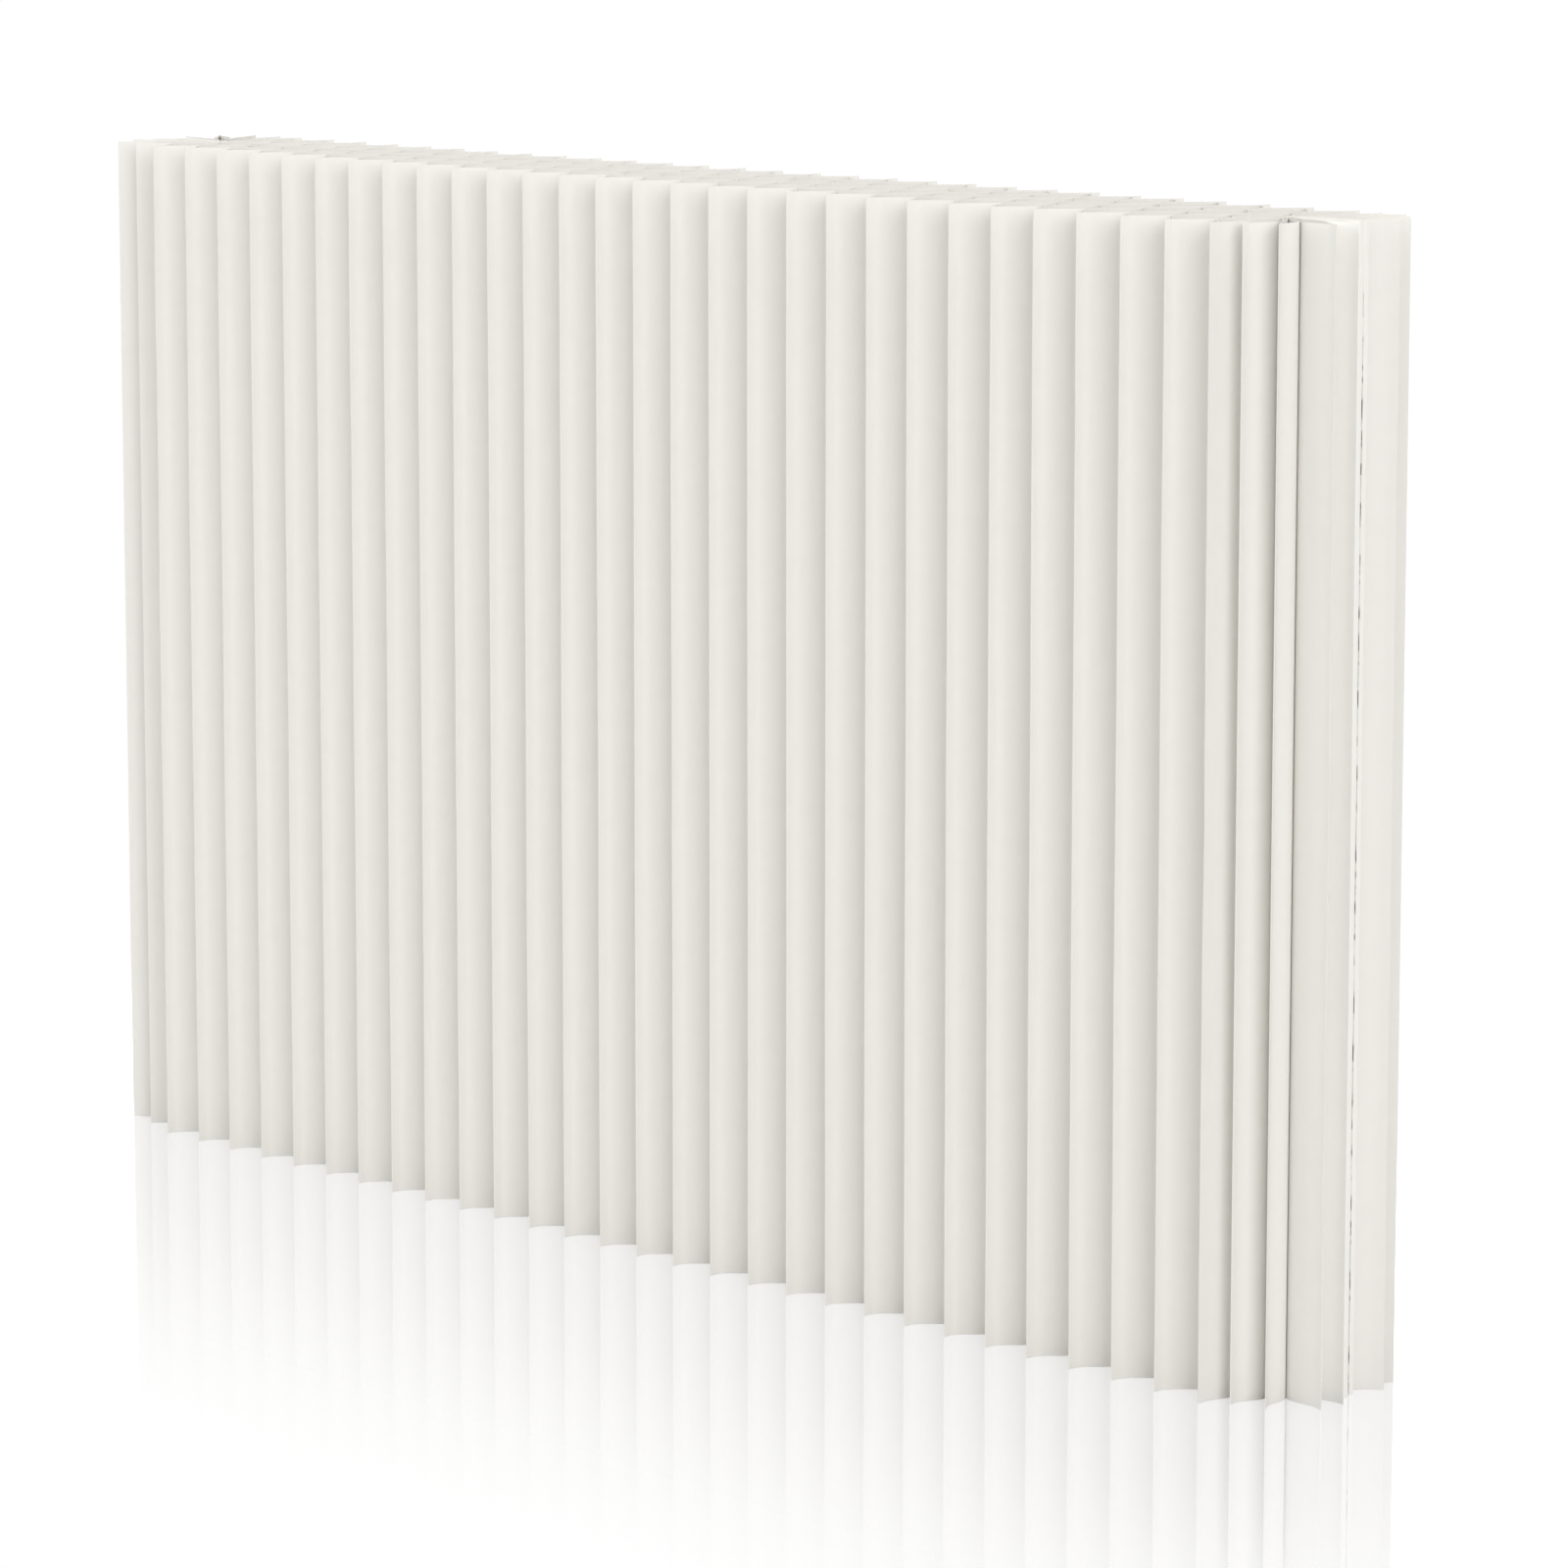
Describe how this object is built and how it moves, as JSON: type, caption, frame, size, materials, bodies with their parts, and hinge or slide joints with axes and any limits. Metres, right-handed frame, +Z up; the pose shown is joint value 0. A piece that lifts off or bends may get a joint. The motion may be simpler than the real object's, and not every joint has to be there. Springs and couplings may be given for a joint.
{
  "type": "pleated paper screen",
  "caption": "Free-standing white paper partition: a glued honeycomb of tall pleated sheets that opens like an accordion, with both ends fanned round magnetic leaves.",
  "frame": {"origin": "on the floor, under the middle of the opened screen", "axes": "+X along the wall towards the end with the folded-back leaves nearest the viewer, +Y towards the back, +Z up"},
  "size_m": [2.159, 0.263, 1.372],
  "materials": {
    "sheet_paper": "matte",
    "cover_paper": "matte",
    "bead": "matte",
    "leaf_board": "matte",
    "magnet": "satin"
  },
  "bodies": {
    "left_end": {"pleat_01": "sheet_paper", "left_bead": "bead"},
    "pleat_02": {"pleat_02": "sheet_paper"},
    "pleat_03": {"pleat_03": "sheet_paper"},
    "pleat_04": {"pleat_04": "sheet_paper"},
    "pleat_05": {"pleat_05": "sheet_paper"},
    "pleat_06": {"pleat_06": "sheet_paper"},
    "pleat_07": {"pleat_07": "sheet_paper"},
    "pleat_08": {"pleat_08": "sheet_paper"},
    "pleat_09": {"pleat_09": "sheet_paper"},
    "pleat_10": {"pleat_10": "sheet_paper"},
    "pleat_11": {"pleat_11": "sheet_paper"},
    "pleat_12": {"pleat_12": "sheet_paper"},
    "pleat_13": {"pleat_13": "sheet_paper"},
    "pleat_14": {"pleat_14": "sheet_paper"},
    "pleat_15": {"pleat_15": "sheet_paper"},
    "pleat_16": {"pleat_16": "sheet_paper"},
    "pleat_17": {"pleat_17": "sheet_paper"},
    "pleat_18": {"pleat_18": "sheet_paper"},
    "pleat_19": {"pleat_19": "sheet_paper"},
    "pleat_20": {"pleat_20": "sheet_paper"},
    "pleat_21": {"pleat_21": "sheet_paper"},
    "pleat_22": {"pleat_22": "sheet_paper"},
    "pleat_23": {"pleat_23": "sheet_paper"},
    "pleat_24": {"pleat_24": "sheet_paper"},
    "pleat_25": {"pleat_25": "sheet_paper"},
    "pleat_26": {"pleat_26": "sheet_paper"},
    "pleat_27": {"pleat_27": "sheet_paper"},
    "pleat_28": {"pleat_28": "sheet_paper"},
    "right_end": {"pleat_29": "sheet_paper", "right_bead": "bead"},
    "left_front_fan_1": {"left_front_fan_1": "sheet_paper"},
    "left_front_fan_2": {"left_front_fan_2": "sheet_paper"},
    "left_front_fan_3": {"left_front_fan_3": "sheet_paper"},
    "left_front_fan_4": {"left_front_fan_4": "sheet_paper"},
    "left_back_fan_1": {"left_back_fan_1": "sheet_paper"},
    "left_back_fan_2": {"left_back_fan_2": "sheet_paper"},
    "left_back_fan_3": {"left_back_fan_3": "sheet_paper"},
    "left_back_fan_4": {"left_back_fan_4": "sheet_paper"},
    "right_front_fan_1": {"right_front_fan_1": "sheet_paper"},
    "right_front_fan_2": {"right_front_fan_2": "sheet_paper"},
    "right_front_fan_3": {"right_front_fan_3": "sheet_paper"},
    "right_front_fan_4": {"right_front_fan_4": "sheet_paper"},
    "right_back_fan_1": {"right_back_fan_1": "sheet_paper"},
    "right_back_fan_2": {"right_back_fan_2": "sheet_paper"},
    "right_back_fan_3": {"right_back_fan_3": "sheet_paper"},
    "right_back_fan_4": {"right_back_fan_4": "sheet_paper"},
    "left_front_leaf": {"left_front_leaf_board": "leaf_board", "left_front_leaf_cover": "cover_paper", "left_front_leaf_magnets": "magnet"},
    "left_back_leaf": {"left_back_leaf_board": "leaf_board", "left_back_leaf_cover": "cover_paper", "left_back_leaf_magnets": "magnet"},
    "right_front_leaf": {"right_front_leaf_board": "leaf_board", "right_front_leaf_cover": "cover_paper", "right_front_leaf_magnets": "magnet"},
    "right_back_leaf": {"right_back_leaf_board": "leaf_board", "right_back_leaf_cover": "cover_paper", "right_back_leaf_magnets": "magnet"}
  },
  "joints": [
    {"name": "extend", "type": "slide", "parent": "left_end", "child": "right_end", "axis": [1, 0, 0], "range_m": [-1.8144, 0], "deforming": ["pleat_01", "pleat_29"]},
    {"name": "slide_02", "type": "slide", "parent": "left_end", "child": "pleat_02", "axis": [1, 0, 0], "range_m": [-0.06481, 0], "deforming": ["pleat_02"]},
    {"name": "slide_03", "type": "slide", "parent": "left_end", "child": "pleat_03", "axis": [1, 0, 0], "range_m": [-0.12961, 0], "deforming": ["pleat_03"]},
    {"name": "slide_04", "type": "slide", "parent": "left_end", "child": "pleat_04", "axis": [1, 0, 0], "range_m": [-0.19441, 0], "deforming": ["pleat_04"]},
    {"name": "slide_05", "type": "slide", "parent": "left_end", "child": "pleat_05", "axis": [1, 0, 0], "range_m": [-0.25921, 0], "deforming": ["pleat_05"]},
    {"name": "slide_06", "type": "slide", "parent": "left_end", "child": "pleat_06", "axis": [1, 0, 0], "range_m": [-0.32401, 0], "deforming": ["pleat_06"]},
    {"name": "slide_07", "type": "slide", "parent": "left_end", "child": "pleat_07", "axis": [1, 0, 0], "range_m": [-0.38881, 0], "deforming": ["pleat_07"]},
    {"name": "slide_08", "type": "slide", "parent": "left_end", "child": "pleat_08", "axis": [1, 0, 0], "range_m": [-0.45361, 0], "deforming": ["pleat_08"]},
    {"name": "slide_09", "type": "slide", "parent": "left_end", "child": "pleat_09", "axis": [1, 0, 0], "range_m": [-0.51841, 0], "deforming": ["pleat_09"]},
    {"name": "slide_10", "type": "slide", "parent": "left_end", "child": "pleat_10", "axis": [1, 0, 0], "range_m": [-0.58321, 0], "deforming": ["pleat_10"]},
    {"name": "slide_11", "type": "slide", "parent": "left_end", "child": "pleat_11", "axis": [1, 0, 0], "range_m": [-0.64801, 0], "deforming": ["pleat_11"]},
    {"name": "slide_12", "type": "slide", "parent": "left_end", "child": "pleat_12", "axis": [1, 0, 0], "range_m": [-0.71281, 0], "deforming": ["pleat_12"]},
    {"name": "slide_13", "type": "slide", "parent": "left_end", "child": "pleat_13", "axis": [1, 0, 0], "range_m": [-0.77761, 0], "deforming": ["pleat_13"]},
    {"name": "slide_14", "type": "slide", "parent": "left_end", "child": "pleat_14", "axis": [1, 0, 0], "range_m": [-0.84241, 0], "deforming": ["pleat_14"]},
    {"name": "slide_15", "type": "slide", "parent": "left_end", "child": "pleat_15", "axis": [1, 0, 0], "range_m": [-0.90721, 0], "deforming": ["pleat_15"]},
    {"name": "slide_16", "type": "slide", "parent": "left_end", "child": "pleat_16", "axis": [1, 0, 0], "range_m": [-0.97201, 0], "deforming": ["pleat_16"]},
    {"name": "slide_17", "type": "slide", "parent": "left_end", "child": "pleat_17", "axis": [1, 0, 0], "range_m": [-1.03681, 0], "deforming": ["pleat_17"]},
    {"name": "slide_18", "type": "slide", "parent": "left_end", "child": "pleat_18", "axis": [1, 0, 0], "range_m": [-1.10161, 0], "deforming": ["pleat_18"]},
    {"name": "slide_19", "type": "slide", "parent": "left_end", "child": "pleat_19", "axis": [1, 0, 0], "range_m": [-1.16641, 0], "deforming": ["pleat_19"]},
    {"name": "slide_20", "type": "slide", "parent": "left_end", "child": "pleat_20", "axis": [1, 0, 0], "range_m": [-1.23121, 0], "deforming": ["pleat_20"]},
    {"name": "slide_21", "type": "slide", "parent": "left_end", "child": "pleat_21", "axis": [1, 0, 0], "range_m": [-1.29601, 0], "deforming": ["pleat_21"]},
    {"name": "slide_22", "type": "slide", "parent": "left_end", "child": "pleat_22", "axis": [1, 0, 0], "range_m": [-1.36081, 0], "deforming": ["pleat_22"]},
    {"name": "slide_23", "type": "slide", "parent": "left_end", "child": "pleat_23", "axis": [1, 0, 0], "range_m": [-1.42561, 0], "deforming": ["pleat_23"]},
    {"name": "slide_24", "type": "slide", "parent": "left_end", "child": "pleat_24", "axis": [1, 0, 0], "range_m": [-1.49041, 0], "deforming": ["pleat_24"]},
    {"name": "slide_25", "type": "slide", "parent": "left_end", "child": "pleat_25", "axis": [1, 0, 0], "range_m": [-1.55521, 0], "deforming": ["pleat_25"]},
    {"name": "slide_26", "type": "slide", "parent": "left_end", "child": "pleat_26", "axis": [1, 0, 0], "range_m": [-1.62001, 0], "deforming": ["pleat_26"]},
    {"name": "slide_27", "type": "slide", "parent": "left_end", "child": "pleat_27", "axis": [1, 0, 0], "range_m": [-1.68481, 0], "deforming": ["pleat_27"]},
    {"name": "slide_28", "type": "slide", "parent": "left_end", "child": "pleat_28", "axis": [1, 0, 0], "range_m": [-1.74961, 0], "deforming": ["pleat_28"]},
    {"name": "left_front_open", "type": "hinge", "parent": "left_end", "child": "left_front_leaf", "pos_m": [-0.96178, 0, 0], "axis": [0, 0, 1], "range_deg": [0, 90]},
    {"name": "left_front_fan_1_turn", "type": "hinge", "parent": "left_end", "child": "left_front_fan_1", "pos_m": [-0.94858, 0, 0], "axis": [0, 0, 1], "range_deg": [0, 30.27], "deforming": ["left_front_fan_1"]},
    {"name": "left_front_fan_2_turn", "type": "hinge", "parent": "left_end", "child": "left_front_fan_2", "pos_m": [-0.94858, 0, 0], "axis": [0, 0, 1], "range_deg": [0, 48.52], "deforming": ["left_front_fan_2"]},
    {"name": "left_front_fan_3_turn", "type": "hinge", "parent": "left_end", "child": "left_front_fan_3", "pos_m": [-0.94858, 0, 0], "axis": [0, 0, 1], "range_deg": [0, 66.77], "deforming": ["left_front_fan_3"]},
    {"name": "left_front_fan_4_turn", "type": "hinge", "parent": "left_end", "child": "left_front_fan_4", "pos_m": [-0.94858, 0, 0], "axis": [0, 0, 1], "range_deg": [0, 77.02], "deforming": ["left_front_fan_4"]},
    {"name": "left_back_open", "type": "hinge", "parent": "left_end", "child": "left_back_leaf", "pos_m": [-0.96178, 0, 0], "axis": [0, 0, 1], "range_deg": [-90, 0]},
    {"name": "left_back_fan_1_turn", "type": "hinge", "parent": "left_end", "child": "left_back_fan_1", "pos_m": [-0.94858, 0, 0], "axis": [0, 0, 1], "range_deg": [-17.27, 0], "deforming": ["left_back_fan_1"]},
    {"name": "left_back_fan_2_turn", "type": "hinge", "parent": "left_end", "child": "left_back_fan_2", "pos_m": [-0.94858, 0, 0], "axis": [0, 0, 1], "range_deg": [-35.52, 0], "deforming": ["left_back_fan_2"]},
    {"name": "left_back_fan_3_turn", "type": "hinge", "parent": "left_end", "child": "left_back_fan_3", "pos_m": [-0.94858, 0, 0], "axis": [0, 0, 1], "range_deg": [-54.77, 0], "deforming": ["left_back_fan_3"]},
    {"name": "left_back_fan_4_turn", "type": "hinge", "parent": "left_end", "child": "left_back_fan_4", "pos_m": [-0.94858, 0, 0], "axis": [0, 0, 1], "range_deg": [-74.02, 0], "deforming": ["left_back_fan_4"]},
    {"name": "right_front_open", "type": "hinge", "parent": "right_end", "child": "right_front_leaf", "pos_m": [0.97672, 0, 0], "axis": [0, 0, 1], "range_deg": [-102, 0]},
    {"name": "right_front_fan_1_turn", "type": "hinge", "parent": "right_end", "child": "right_front_fan_1", "pos_m": [0.96352, 0, 0], "axis": [0, 0, 1], "range_deg": [-14.27, 0], "deforming": ["right_front_fan_1"]},
    {"name": "right_front_fan_2_turn", "type": "hinge", "parent": "right_end", "child": "right_front_fan_2", "pos_m": [0.96352, 0, 0], "axis": [0, 0, 1], "range_deg": [-35.52, 0], "deforming": ["right_front_fan_2"]},
    {"name": "right_front_fan_3_turn", "type": "hinge", "parent": "right_end", "child": "right_front_fan_3", "pos_m": [0.96352, 0, 0], "axis": [0, 0, 1], "range_deg": [-65.77, 0], "deforming": ["right_front_fan_3"]},
    {"name": "right_front_fan_4_turn", "type": "hinge", "parent": "right_end", "child": "right_front_fan_4", "pos_m": [0.96352, 0, 0], "axis": [0, 0, 1], "range_deg": [-82.02, 0], "deforming": ["right_front_fan_4"]},
    {"name": "right_back_open", "type": "hinge", "parent": "right_end", "child": "right_back_leaf", "pos_m": [0.97672, 0, 0], "axis": [0, 0, 1], "range_deg": [0, 78]},
    {"name": "right_back_fan_1_turn", "type": "hinge", "parent": "right_end", "child": "right_back_fan_1", "pos_m": [0.96352, 0, 0], "axis": [0, 0, 1], "range_deg": [0, 18.27], "deforming": ["right_back_fan_1"]},
    {"name": "right_back_fan_2_turn", "type": "hinge", "parent": "right_end", "child": "right_back_fan_2", "pos_m": [0.96352, 0, 0], "axis": [0, 0, 1], "range_deg": [0, 32.52], "deforming": ["right_back_fan_2"]},
    {"name": "right_back_fan_3_turn", "type": "hinge", "parent": "right_end", "child": "right_back_fan_3", "pos_m": [0.96352, 0, 0], "axis": [0, 0, 1], "range_deg": [0, 45.77], "deforming": ["right_back_fan_3"]},
    {"name": "right_back_fan_4_turn", "type": "hinge", "parent": "right_end", "child": "right_back_fan_4", "pos_m": [0.96352, 0, 0], "axis": [0, 0, 1], "range_deg": [0, 59.02], "deforming": ["right_back_fan_4"]}
  ],
  "couplings": [
    {"joint": "slide_02", "follows": "extend", "ratio": 0.035714},
    {"joint": "slide_03", "follows": "extend", "ratio": 0.071429},
    {"joint": "slide_04", "follows": "extend", "ratio": 0.10714},
    {"joint": "slide_05", "follows": "extend", "ratio": 0.14286},
    {"joint": "slide_06", "follows": "extend", "ratio": 0.17857},
    {"joint": "slide_07", "follows": "extend", "ratio": 0.21429},
    {"joint": "slide_08", "follows": "extend", "ratio": 0.25},
    {"joint": "slide_09", "follows": "extend", "ratio": 0.28571},
    {"joint": "slide_10", "follows": "extend", "ratio": 0.32143},
    {"joint": "slide_11", "follows": "extend", "ratio": 0.35714},
    {"joint": "slide_12", "follows": "extend", "ratio": 0.39286},
    {"joint": "slide_13", "follows": "extend", "ratio": 0.42857},
    {"joint": "slide_14", "follows": "extend", "ratio": 0.46429},
    {"joint": "slide_15", "follows": "extend", "ratio": 0.5},
    {"joint": "slide_16", "follows": "extend", "ratio": 0.53571},
    {"joint": "slide_17", "follows": "extend", "ratio": 0.57143},
    {"joint": "slide_18", "follows": "extend", "ratio": 0.60714},
    {"joint": "slide_19", "follows": "extend", "ratio": 0.64286},
    {"joint": "slide_20", "follows": "extend", "ratio": 0.67857},
    {"joint": "slide_21", "follows": "extend", "ratio": 0.71429},
    {"joint": "slide_22", "follows": "extend", "ratio": 0.75},
    {"joint": "slide_23", "follows": "extend", "ratio": 0.78571},
    {"joint": "slide_24", "follows": "extend", "ratio": 0.82143},
    {"joint": "slide_25", "follows": "extend", "ratio": 0.85714},
    {"joint": "slide_26", "follows": "extend", "ratio": 0.89286},
    {"joint": "slide_27", "follows": "extend", "ratio": 0.92857},
    {"joint": "slide_28", "follows": "extend", "ratio": 0.96429},
    {"joint": "left_front_fan_1_turn", "follows": "left_front_open", "ratio": 0.33611},
    {"joint": "left_front_fan_2_turn", "follows": "left_front_open", "ratio": 0.53889},
    {"joint": "left_front_fan_3_turn", "follows": "left_front_open", "ratio": 0.74167},
    {"joint": "left_front_fan_4_turn", "follows": "left_front_open", "ratio": 0.85556},
    {"joint": "left_back_fan_1_turn", "follows": "left_back_open", "ratio": 0.19167},
    {"joint": "left_back_fan_2_turn", "follows": "left_back_open", "ratio": 0.39444},
    {"joint": "left_back_fan_3_turn", "follows": "left_back_open", "ratio": 0.60833},
    {"joint": "left_back_fan_4_turn", "follows": "left_back_open", "ratio": 0.82222},
    {"joint": "right_front_fan_1_turn", "follows": "right_front_open", "ratio": 0.13971},
    {"joint": "right_front_fan_2_turn", "follows": "right_front_open", "ratio": 0.34804},
    {"joint": "right_front_fan_3_turn", "follows": "right_front_open", "ratio": 0.64461},
    {"joint": "right_front_fan_4_turn", "follows": "right_front_open", "ratio": 0.80392},
    {"joint": "right_back_fan_1_turn", "follows": "right_back_open", "ratio": 0.23397},
    {"joint": "right_back_fan_2_turn", "follows": "right_back_open", "ratio": 0.41667},
    {"joint": "right_back_fan_3_turn", "follows": "right_back_open", "ratio": 0.58654},
    {"joint": "right_back_fan_4_turn", "follows": "right_back_open", "ratio": 0.75641}
  ]
}
